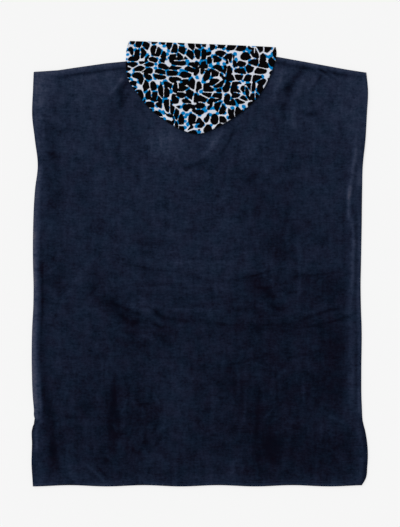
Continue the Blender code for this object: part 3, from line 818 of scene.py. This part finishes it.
def panel_top(x, y):
    """The top of the back panel where there is one, and the bare surface elsewhere."""
    on_panel = (y < top_height(x, BACK_NECK_DROP)) & (edge_distance(x, y) > 0)
    return np.where(on_panel, back_height(x, y) + HALF, 0)


def ground(x, y):
    """The highest point of what lies below, at x, y or within reach of it."""
    angles = np.linspace(0, 2 * math.pi, GROUND_WAYS, endpoint=False)
    ways = [(0, 0), *((GROUND_REACH * math.cos(a), GROUND_REACH * math.sin(a)) for a in angles)]
    return np.maximum.reduce([panel_top(x + across, y + up) for across, up in ways])


def under_plan(half, starts, fold_starts, front, bridge, nape):
    """Plan points of the under layer: the front rows run to the front neckline, the rest to the nape."""
    side, neck_x = (-1, NECK_LEFT) if half == "left" else (1, NECK_RIGHT)
    first_nape = FRONT_ROWS + BRIDGE_ROWS
    fold_x, centre_x = fold_starts[first_nape, 0], starts[first_nape, 0]
    outer = np.linspace(fold_x, neck_x, OUTER_CELLS, endpoint=False)
    places = np.concatenate([outer, np.linspace(neck_x, centre_x, INNER_CELLS + 1)])
    share = (places - fold_x) / (centre_x - fold_x)
    straight = fold_starts[:, None] + (starts - fold_starts)[:, None] * share[None, :, None]
    in_neck = np.abs(places) <= abs(neck_x)
    front_target, back_target = straight[FRONT_ROWS], straight[first_nape]
    front_pull = np.where(in_neck, top_height(places, FRONT_NECK_DROP) + GAP - front_target[:, 1], 0)
    back_pull = np.where(in_neck, top_height(places, BACK_NECK_DROP) - GAP - back_target[:, 1], 0)
    front_keep = front * (1 - bridge)
    back_keep = bridge * (1 - smoothstep(nape / NAPE_SEAM_REACH))
    straight[..., 1] += front_keep[:, None] * front_pull + back_keep[:, None] * back_pull
    neck_share = smoothstep(share * NECK_STEEPNESS)
    straight[..., 0] += front_keep[:, None] * (places - front_target[:, 0]) * neck_share
    straight[:, -1, 0] = centre_across(straight[:, -1, 1]) + side * SEAM_GAP / 2
    return straight


def upper_height(upper, fold_starts, side_mid):
    """Middle of the upper layer: over its side fold at the edge, puffed up and creased further in."""
    x, y = upper[..., 0], upper[..., 1]
    from_fold = np.linalg.norm(fold_starts[:, None] - upper, axis=-1)
    strip = mouth_height(x) - shoulder_height(x)
    fall = smoothstep((mouth_height(x) - y) / strip / (1 - NAPE_EDGE))
    open_mid = FRONT_MID + 2 * LAYER * fall
    blend = smoothstep(from_fold / SIDE_BLEND)
    height = (1 - blend) * side_mid + blend * open_mid + 2 * FOLD_RADIUS
    height = height + PUFF * (1 - np.exp(-((from_fold / PUFF_REACH) ** 2)))
    swells = HOOD_SWELL_SHARE * sum(swell(x, y, kind) for kind in HOOD_SWELLS)
    dip = SEAM_DIP * np.exp(-(((x - centre_across(y)) / SEAM_REACH) ** 2))
    return height + smoothstep(from_fold / CREASE_BLEND) * (folds_height(HOOD_CREASES, x, y) + swells - dip)


def hood_grid(half):
    """The middle of one half's wall: across its upper layer, round the side fold and back under.

    Also gives each point's place on the flat cloth. In the front rows, whose under layer shows from
    below, that is its place in plan turned out over the side fold.
    """
    side = -1 if half == "left" else 1
    starts, ends, front, bridge, nape = hood_sections(half)
    starts[:, 0] += side * SEAM_GAP / 2
    ends[-1, 0] = starts[-1, 0] + centre_across(ends[-1, 1]) - centre_across(starts[-1, 1])
    way = (ends - starts) / np.linalg.norm(ends - starts, axis=1)[:, None]
    fold_starts = ends - way * (HALF + FOLD_RADIUS)
    under = under_plan(half, starts, fold_starts, front, bridge, nape)
    resting = ground(under[..., 0], under[..., 1]) + GAP + HALF
    under_z = FRONT_MID + bridge[:, None] * (resting - FRONT_MID)
    share = 1 - (1 - np.linspace(0, 1, UPPER_CELLS + 1)) ** UPPER_CROWDING
    upper = starts[:, None] + (fold_starts - starts)[:, None] * share[None, :, None]
    upper_z = upper_height(upper, fold_starts, under_z[:, :1])
    angles = np.linspace(math.pi / 2, -math.pi / 2, FOLD_CELLS + 1)
    fold_plan = fold_starts[:, None] + way[:, None] * (FOLD_RADIUS * np.cos(angles))[None, :, None]
    fold_z = under_z[:, :1] + FOLD_RADIUS * (1 + np.sin(angles))[None, :]
    plan = np.concatenate([upper[:, :-1], fold_plan, under[:, 1:]], 1)
    height = np.concatenate([upper_z[:, :-1], fold_z, under_z[:, 1:]], 1)
    grid = np.concatenate([plan, height[..., None]], -1)
    arc = np.linalg.norm(np.diff(grid, axis=1), axis=2).cumsum(1)
    arc = np.concatenate([np.zeros((len(grid), 1)), arc], 1)
    flat = starts[:, None] + way[:, None] * arc[..., None]
    first_under = UPPER_CELLS + FOLD_CELLS
    turned = flat[:, first_under, None] + (under - under[:, :1]) * (-1, 1)
    flat[:, first_under:] = turned + (flat[:, first_under:] - turned) * bridge[:, None, None]
    return grid, flat


# ---- Meshes ----


def inner_blocks(index, kept, block):
    """The corners of the inside's blocks of cells, and the runs of points along their free sides."""
    rows, columns = kept.shape
    row_stops, column_stops = ([*range(0, count, block), count] for count in kept.shape)
    blocks, runs = [], []
    for row0, row1 in zip(row_stops, row_stops[1:]):
        for col0, col1 in zip(column_stops, column_stops[1:]):
            if not kept[row0, col0]:
                continue
            blocks.append([index[row0, col0], index[row1, col0], index[row1, col1], index[row0, col1]])
            sides = (
                ((row0 - 1, col0), index[row0, col0:col1 + 1]),
                ((row0, col1), index[row0:row1 + 1, col1]),
                ((row1, col0), index[row1, col0:col1 + 1][::-1]),
                ((row0, col0 - 1), index[row0:row1 + 1, col0][::-1]),
            )
            for (row, col), run in sides:
                if not (0 <= row < rows and 0 <= col < columns and kept[row, col]):
                    runs.append(run.tolist())
    return blocks, runs


def rim_ways(points, unit, runs):
    """The points along the rim, and the way out of the cloth at each of them."""
    outward = np.zeros_like(points)
    for run in runs:
        for start, end in zip(run, run[1:]):
            aside = np.cross(points[end] - points[start], unit[start])
            aside /= np.linalg.norm(aside)
            outward[start] += aside
            outward[end] += aside
    rim = sorted({place for run in runs for place in run})
    return rim, outward[rim] / np.maximum(np.linalg.norm(outward[rim], axis=1), TINY)[:, None]


def rim_faces(runs, rim, count):
    """Quads from ring to ring round the rim, and a face for each run that closes it to the inside."""
    place_in_rim = {place: number for number, place in enumerate(rim)}
    last = len(RIM_ANGLES) - 1

    def vertex(ring, place):
        return place if ring < 0 else 2 * count + ring * len(rim) + place_in_rim[place]

    faces = []
    for run in runs:
        for start, end in zip(run, run[1:]):
            for ring in range(-1, last):
                faces.append([vertex(ring, end), vertex(ring, start),
                              vertex(ring + 1, start), vertex(ring + 1, end)])
        faces.append([*(vertex(last, place) for place in reversed(run)), run[0] + count, run[-1] + count])
    return faces


def shell(name, grid, flat, nap, material, left_out=None, block=1):
    """A closed cloth wall about a grid of points: fine outside, in blocks inside, its rim rounded."""
    kept = np.ones(np.subtract(grid.shape[:2], 1), bool) if left_out is None else ~left_out
    normals = np.cross(np.gradient(grid, axis=1), np.gradient(grid, axis=0))
    unit = (normals / np.linalg.norm(normals, axis=-1, keepdims=True)).reshape(-1, 3)
    points = grid.reshape(-1, 3)
    count = len(points)
    index = np.arange(count).reshape(grid.shape[:2])
    blocks, runs = inner_blocks(index, kept, block)
    rim, outward = rim_ways(points, unit, runs)
    rings = [points[rim] + unit[rim] * HALF * math.sin(angle) + outward * RIM_RADIUS * math.cos(angle)
             for angle in np.radians(RIM_ANGLES)]
    vertices = np.concatenate([points + unit * HALF, points - unit * HALF, *rings])
    cells = np.stack([index[:-1, :-1], index[:-1, 1:], index[1:, 1:], index[1:, :-1]], -1)
    faces = cells[kept].tolist() + (np.array(blocks) + count).tolist() + rim_faces(runs, rim, count)
    source = np.concatenate([np.arange(count), np.arange(count), *[rim] * len(RIM_ANGLES)])
    used = np.unique(np.concatenate([np.ravel(face) for face in faces]))
    renumber = np.zeros(len(vertices), int)
    renumber[used] = np.arange(len(used))
    piece = mesh_object(name, vertices[used], [renumber[face].tolist() for face in faces], material)
    set_cloth_map(piece.data, flat.reshape(-1, 2)[source[used]] * MM)
    # Each point's nap tone, with its painted light and shade, for the material.
    values = piece.data.attributes.new("nap", "FLOAT", "POINT")
    values.data.foreach_set("value", nap.reshape(-1)[source[used]].astype(np.float32))
    return piece


def mesh_object(name, vertices, faces, material):
    mesh = bpy.data.meshes.new(name)
    mesh.from_pydata((vertices * MM).tolist(), [], faces)
    mesh.shade_smooth()
    mesh.materials.append(material)
    piece = bpy.data.objects.new(name, mesh)
    bpy.context.scene.collection.objects.link(piece)
    return piece


def set_cloth_map(mesh, places):
    """Stores each vertex's place on the flat cloth, in metres."""
    corners = np.zeros(len(mesh.loops), int)
    mesh.loops.foreach_get("vertex_index", corners)
    layer = mesh.uv_layers.new(name="cloth")
    layer.data.foreach_set("uv", places[corners].astype(np.float32).ravel())


def make_panel(name, plan, height, nap, navy, turned=1):
    """A panel's shell, its outer points drawn in, so that its rim ends just outside the outline."""
    x, y = plan[..., 0], plan[..., 1]
    grid = np.dstack([plan, height(x, y)])
    for edge in (0, -1):
        grid[:, edge, 0] -= np.sign(grid[:, edge, 0]) * RIM_INSET
    grid[0, :, 1] += RIM_INSET
    grid[-1, :, 1] -= RIM_INSET
    return shell(name, grid, plan * (turned, 1), nap(x, y), navy, block=HIDDEN_BLOCK)


def make_hood_half(half, printed):
    grid, flat = hood_grid(half)
    left_out = np.zeros(np.subtract(grid.shape[:2], 1), bool)
    left_out[FRONT_ROWS:FRONT_ROWS + BRIDGE_ROWS, UPPER_CELLS + FOLD_CELLS + OUTER_CELLS:] = True
    if half == "right":
        grid, flat, left_out = grid[:, ::-1], flat[:, ::-1], left_out[:, ::-1]
    return shell(f"hood_{half}_cloth", grid, flat, np.zeros(grid.shape[:2]), printed, left_out)


# ---- Stitches ----


def surface_of(*pieces):
    """A tree of the pieces' faces, to find places on them."""
    vertices, faces = [], []
    for piece in pieces:
        start = len(vertices)
        vertices += [vertex.co.copy() for vertex in piece.data.vertices]
        faces += [[start + index for index in polygon.vertices] for polygon in piece.data.polygons]
    return BVHTree.FromPolygons(vertices, faces)


def laid_path(tree, plan, side):
    """A line in plan laid onto the pieces from above (side 1) or from below (side -1)."""
    hits = (tree.ray_cast(Vector((x * MM, y * MM, side)), Vector((0, 0, -side)))[0] for x, y in plan)
    return np.array([[value / MM for value in hit] for hit in hits if hit])


def spaced(points, step):
    """Points a step apart along a line."""
    lengths = np.concatenate([[0], np.linalg.norm(np.diff(points, axis=0), axis=1).cumsum()])
    at = np.arange(0, lengths[-1], step)
    return np.column_stack([np.interp(at, lengths, values) for values in points.T])


def stitch_template():
    """One stitch along +X: a short thread that tapers at both ends, as (vertices, faces)."""
    along = np.linspace(0, 1, STITCH_RINGS)
    radii = STITCH_RADIUS * (STITCH_END + (1 - STITCH_END) * np.sin(along * math.pi))
    angles = np.linspace(0, 2 * math.pi, STITCH_SIDES, endpoint=False)
    vertices = [(place * STITCH_LENGTH, radius * math.cos(angle), radius * math.sin(angle))
                for place, radius in zip(along, radii) for angle in angles]
    rings = np.arange(len(vertices)).reshape(STITCH_RINGS, STITCH_SIDES).tolist()
    faces = [[start[side], start[side - STITCH_SIDES + 1], end[side - STITCH_SIDES + 1], end[side]]
             for start, end in zip(rings, rings[1:]) for side in range(STITCH_SIDES)]
    return np.array(vertices), [*faces, rings[0][::-1], rings[-1]]


def make_stitches(name, plans, tree, material, side=1):
    """Rows of stitches along lines in plan, laid onto one side of the pieces and lifted a little."""
    template, template_faces = stitch_template()
    lift = STITCH_LIFT if side > 0 else UNDER_STITCH_LIFT
    vertices, faces = [], []
    for plan in plans:
        steps = spaced(laid_path(tree, plan, side), STITCH_LENGTH + STITCH_PAUSE)
        for start, end in zip(steps, steps[1:]):
            forward = (end - start) / np.linalg.norm(end - start)
            aside = np.cross((0, 0, 1), forward)
            aside /= np.linalg.norm(aside)
            base = len(vertices) * len(template)
            turned = template @ np.array([forward, aside, np.cross(forward, aside)])
            vertices.append(start + (0, 0, lift) + turned)
            faces += [[base + index for index in face] for face in template_faces]
    return mesh_object(name, np.concatenate(vertices), faces, material)


def hem_lines(low, high):
    """Lines in plan a hem's width in from both sides, from height to height."""
    y = np.linspace(low, high, ROW_POINTS)
    left, right = HEM_WIDTH - side_track("left", y), side_track("right", y) - HEM_WIDTH
    return [np.column_stack([x, y]) for x in (left, right)]


def stitch_plans():
    """Stitch lines in plan: a panel's hem, slits and arm openings; its shoulders; the hood's mouth."""
    x = np.linspace(*HEM_ROW, HEM_ROW_POINTS)
    hem = np.column_stack([x, hem_height(x) + HEM_WIDTH])
    slits = hem_lines(HEM_HEIGHT + HEM_WIDTH, SLIT_END_HEIGHT - ROW_PAUSE)
    arms = hem_lines(ARM_END_HEIGHT + ROW_PAUSE, SHOULDERS[0].height - ARM_ROW_PAUSE)
    shoulders = [np.linspace(*ends, ROW_POINTS) for ends in SHOULDER_ROWS]
    shoulders = [np.column_stack([x, shoulder_height(x) - 2 * HEM_WIDTH]) for x in shoulders]
    x = np.linspace(*MOUTH_ROW, MOUTH_ROW_POINTS)
    return [hem, *slits, *arms], shoulders, [np.column_stack([x, mouth_height(x) - HEM_WIDTH])]


# ---- Materials ----


class Finish:
    """A material whose nodes are added by short calls."""

    def __init__(self, name):
        self.material = bpy.data.materials.new(name)
        self.material.use_nodes = True
        self.tree = self.material.node_tree
        self.shader = self.tree.nodes["Principled BSDF"]
        self.cloth = self.add("UVMap", "UV", uv_map="cloth")

    def add(self, kind, output, inputs=None, **settings):
        """Adds a node and gives one of its outputs."""
        node = self.tree.nodes.new("ShaderNode" + kind)
        for name, value in settings.items():
            setattr(node, name, value)
        for socket, value in (inputs or {}).items():
            self.feed(node.inputs[socket], value)
        return node.outputs[output]

    def feed(self, socket, value):
        if isinstance(value, bpy.types.NodeSocket):
            self.tree.links.new(value, socket)
        else:
            socket.default_value = value

    def math(self, operation, *values):
        """The eased operations, such as SMOOTH_MAX, take the distance that they round over last."""
        return self.add("Math", "Value", dict(enumerate(values)), operation=operation)

    def vector_math(self, operation, inputs):
        return self.add("VectorMath", "Vector", inputs, operation=operation)

    def mapped(self, vector, scale, turn=0.0, shift=0.0):
        return self.add("Mapping", "Vector", {
            "Vector": vector, "Scale": scale, "Rotation": (0, 0, turn), "Location": (shift, shift, 0),
        })

    def noise(self, size, stretch=1.0, detail=2.0, roughness=0.5, shift=0.0):
        """Noise about 0 with features of a size in millimetres, stretched across the cloth."""
        places = self.mapped(self.cloth, (1 / (size * stretch * MM), 1 / (size * MM), 1), shift=shift)
        value = self.add("TexNoise", "Fac", {
            "Vector": places, "Scale": 1.0, "Detail": detail, "Roughness": roughness,
        }, noise_dimensions="2D")
        return self.math("SUBTRACT", value, 0.5)

    def weighted_noises(self, rows):
        """The noises of a table by their names, each as a (value, weight)."""
        return {row.name: (self.noise(row.size, row.stretch, row.detail, row.roughness, row.shift),
                           row.weight) for row in rows}

    def weighted(self, start, terms):
        """start plus each (value, weight)."""
        total = start
        for value, weight in terms:
            total = self.math("ADD", total, self.math("MULTIPLY", value, weight))
        return total

    def mix(self, factor, first, second):
        return self.add("Mix", "Result", {"Factor": factor, "A": first, "B": second},
                        data_type="RGBA", clamp_factor=False)

    def between(self, value, low, high):
        """0 below low, 1 above high, smooth between them."""
        return self.add("MapRange", "Result", {
            "Value": value, "From Min": low, "From Max": high,
        }, interpolation_type="SMOOTHSTEP")

    def voronoi(self, vector, feature, randomness):
        return self.add("TexVoronoi", "Distance", {
            "Vector": vector, "Scale": 1.0, "Randomness": randomness,
        }, feature=feature, voronoi_dimensions="2D")

    def done(self, colour, bump, **constants):
        """Gives the material its colour, its bump from a height about 0, and its constants."""
        self.feed(self.shader.inputs["Base Color"], colour)
        if bump is not None:
            bumped = {"Height": bump, "Distance": PILE_BUMP * MM, "Strength": 1.0}
            self.feed(self.shader.inputs["Normal"], self.add("Bump", "Normal", bumped))
        for name, value in constants.items():
            self.shader.inputs[name.replace("_", " ")].default_value = value
        return self.material


def navy_velour():
    """Dark navy pile: brushed patches, fine rows across and a sheen on whatever turns from the eye.

    Its tone carries the nap's painted light and shade, and a painted sheen greys its lightest tones.
    """
    finish = Finish("navy_velour")
    # The nap attribute: the nap's tone with painted light and shade.
    nap = finish.add("Attribute", "Fac", attribute_name="nap")
    noises = finish.weighted_noises(NAVY_NOISES)
    uneven = finish.weighted(0.0, noises.values())
    strength = finish.weighted(UNEVEN_SHARE, [(nap, UNEVEN_WITH_NAP)])
    shade = finish.math("ADD", nap, finish.math("MULTIPLY", uneven, strength))
    shade = finish.math("SMOOTH_MAX", shade, 0.0, SHADE_EASE)
    hue = finish.between(finish.noise(*HUE_NOISE), -HUE_SPREAD, HUE_SPREAD)
    # The lighter tones mix towards a greyer navy: a painted sheen.
    lighter_navy_and_sheen = finish.mix(shade, finish.mix(hue, NAVY_TEAL, NAVY_VIOLET), NAVY_PAINTED_SHEEN)
    colour = finish.mix(shade, finish.mix(hue, NAVY_DARK_TEAL, NAVY_DARK_VIOLET), lighter_navy_and_sheen)
    pile, rows, fibres = (noises[name][0] for name in ("pile", "rows", "fibres"))
    bump = finish.weighted(pile, [(rows, ROWS_BUMP), (fibres, FIBRES_BUMP)])
    return finish.done(colour, bump, Roughness=0.92, Sheen_Weight=0.12, Sheen_Roughness=0.30,
                       Sheen_Tint=NAVY_SHEEN, Specular_IOR_Level=0.03)


def printed_velour():
    """Pale velour with rounded black pebbles of many sizes and blue dabs in the gaps between them."""
    finish = Finish("printed_velour")
    places = finish.cloth
    for scale, distance in PRINT_MOVES:
        places = moved(finish, places, scale, distance)
    upright = pebbles(finish, places, UPRIGHT_PEBBLES, UPRIGHT_TURN)
    lying = pebbles(finish, places, LYING_PEBBLES, LYING_TURN)
    noises = finish.weighted_noises(PRINT_NOISES)
    region = finish.between(finish.noise(*REGION_NOISE), -REGION_EASE, REGION_EASE)
    field = finish.weighted(upright, [(finish.math("SUBTRACT", lying, upright), region), noises["pebbles"]])
    black = finish.between(field, *BLACK_EDGE)
    dabs = finish.voronoi(finish.mapped(places, DABS), "F1", 1.0)
    blue = finish.between(finish.weighted(dabs, [noises["dabs"]]), *BLUE_EDGE)
    colour = finish.mix(black, finish.mix(blue, PALE, BLUE), BLACK)
    dim = finish.weighted(PRINT_LIGHT, [noises["pile"], noises["cloth"]])
    shaded = finish.vector_math("SCALE", {0: colour, "Scale": dim})
    return finish.done(shaded, noises["pile"][0], Roughness=0.92, Sheen_Weight=0.03,
                       Sheen_Roughness=0.4, Sheen_Tint=PALE_SHEEN, Specular_IOR_Level=0.03)


def pebbles(finish, places, scale, turn):
    """A field over 0 inside rounded pebbles: the cells of a Voronoi net with their corners cut round."""
    cells = finish.mapped(places, scale, turn)
    rim = finish.math("SUBTRACT", finish.voronoi(cells, "DISTANCE_TO_EDGE", PEBBLE_EVENNESS), PEBBLE_INSET)
    middle = finish.math("SUBTRACT", PEBBLE_REACH, finish.voronoi(cells, "F1", PEBBLE_EVENNESS))
    return finish.math("SMOOTH_MIN", rim, finish.math("MULTIPLY", middle, PEBBLE_ROUND), PEBBLE_EASE)


def moved(finish, vector, scale, distance):
    """vector moved by a noise of a scale, by up to half the distance in metres each way."""
    way = finish.add("TexNoise", "Color", {
        "Vector": finish.cloth, "Scale": scale, "Detail": 1.0,
    }, noise_dimensions="2D")
    centred = finish.vector_math("SUBTRACT", {0: way, 1: (0.5, 0.5, 0.5)})
    scaled = finish.vector_math("SCALE", {0: centred, "Scale": distance})
    return finish.vector_math("ADD", {0: vector, 1: scaled})


def thread(name, colour):
    finish = Finish(name)
    gleam = tuple(value * THREAD_GLEAM for value in colour)
    mixed = finish.mix(finish.math("ADD", finish.noise(THREAD_FIBRE), 0.5), colour, gleam)
    return finish.done(mixed, None, Roughness=0.8, Sheen_Weight=0.05, Specular_IOR_Level=0.1)


# ---- Stage ----


def make_floor():
    bpy.ops.mesh.primitive_plane_add(size=FLOOR_SIZE * MM, location=(0, 0, -FLOOR_DROP * MM))
    floor = bpy.context.object
    floor.name = "floor"
    floor.data.materials.append(Finish("floor_paint").done(
        FLOOR_COLOUR, None, Roughness=1.0, Specular_IOR_Level=0.0, Emission_Color=WHITE,
        Emission_Strength=FLOOR_GLOW))


def make_camera():
    camera_data = bpy.data.cameras.new("camera")
    camera_data.lens = LENS
    camera_data.sensor_width = SENSOR
    camera = bpy.data.objects.new("camera", camera_data)
    place = (*VIEW_CENTRE, VIEW_PLANE + VIEW_HEIGHT * LENS / SENSOR)
    camera.location = [value * MM for value in place]
    bpy.context.scene.collection.objects.link(camera)
    bpy.context.scene.camera = camera


def make_lights():
    """Even studio light: a pale surround, and one broad soft lamp from the top left."""
    scene = bpy.context.scene
    scene.world = bpy.data.worlds.new("studio")
    scene.world.use_nodes = True
    surround = scene.world.node_tree.nodes["Background"]
    surround.inputs["Color"].default_value = WHITE
    surround.inputs["Strength"].default_value = SURROUND_STRENGTH
    lamp_data = bpy.data.lights.new("key", "SUN")
    lamp_data.energy = LAMP_STRENGTH
    lamp_data.angle = math.radians(LAMP_WIDTH)
    lamp = bpy.data.objects.new("key", lamp_data)
    lamp.rotation_euler = Vector(LAMP_WAY).to_track_quat("-Z", "Y").to_euler()
    scene.collection.objects.link(lamp)
    scene.view_settings.view_transform = "Standard"
    scene.view_settings.look = "None"


# ---- The piece ----


def dress():
    navy, printed = navy_velour(), printed_velour()
    back = make_panel("back_cloth", panel_plan(BACK_NECK_DROP, BACK_PITCH), back_height, back_nap_and_painted_light, navy)
    front_plan = panel_plan(FRONT_NECK_DROP, FRONT_PITCH)[:, ::-1]
    front = make_panel("front_cloth", front_plan, front_height, front_nap_and_painted_light, navy, turned=-1)
    left, right = (make_hood_half(half, printed) for half in ("left", "right"))
    above, below = surface_of(back, left, right), surface_of(front, left, right)
    navy_thread, black_thread = thread("navy_thread", NAVY_THREAD), thread("black_thread", BLACK_THREAD)
    body, shoulders, mouth = stitch_plans()
    back_stitches = make_stitches("back_stitches", body + shoulders, above, navy_thread)
    front_stitches = make_stitches("front_stitches", body, below, navy_thread, side=-1)
    mouth_stitches = make_stitches("mouth_stitches", mouth, above, black_thread)
    for piece in (back, front, left, right, back_stitches, front_stitches, mouth_stitches):
        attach(piece, "root")
    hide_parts("back_panel")
    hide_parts("front_panel")
    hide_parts("hood_left")
    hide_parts("hood_right")


def corners(box):
    return [[float(value) for value in corner] for corner in box]


def main():
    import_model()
    dress()
    make_floor()
    make_camera()
    make_lights()


main()
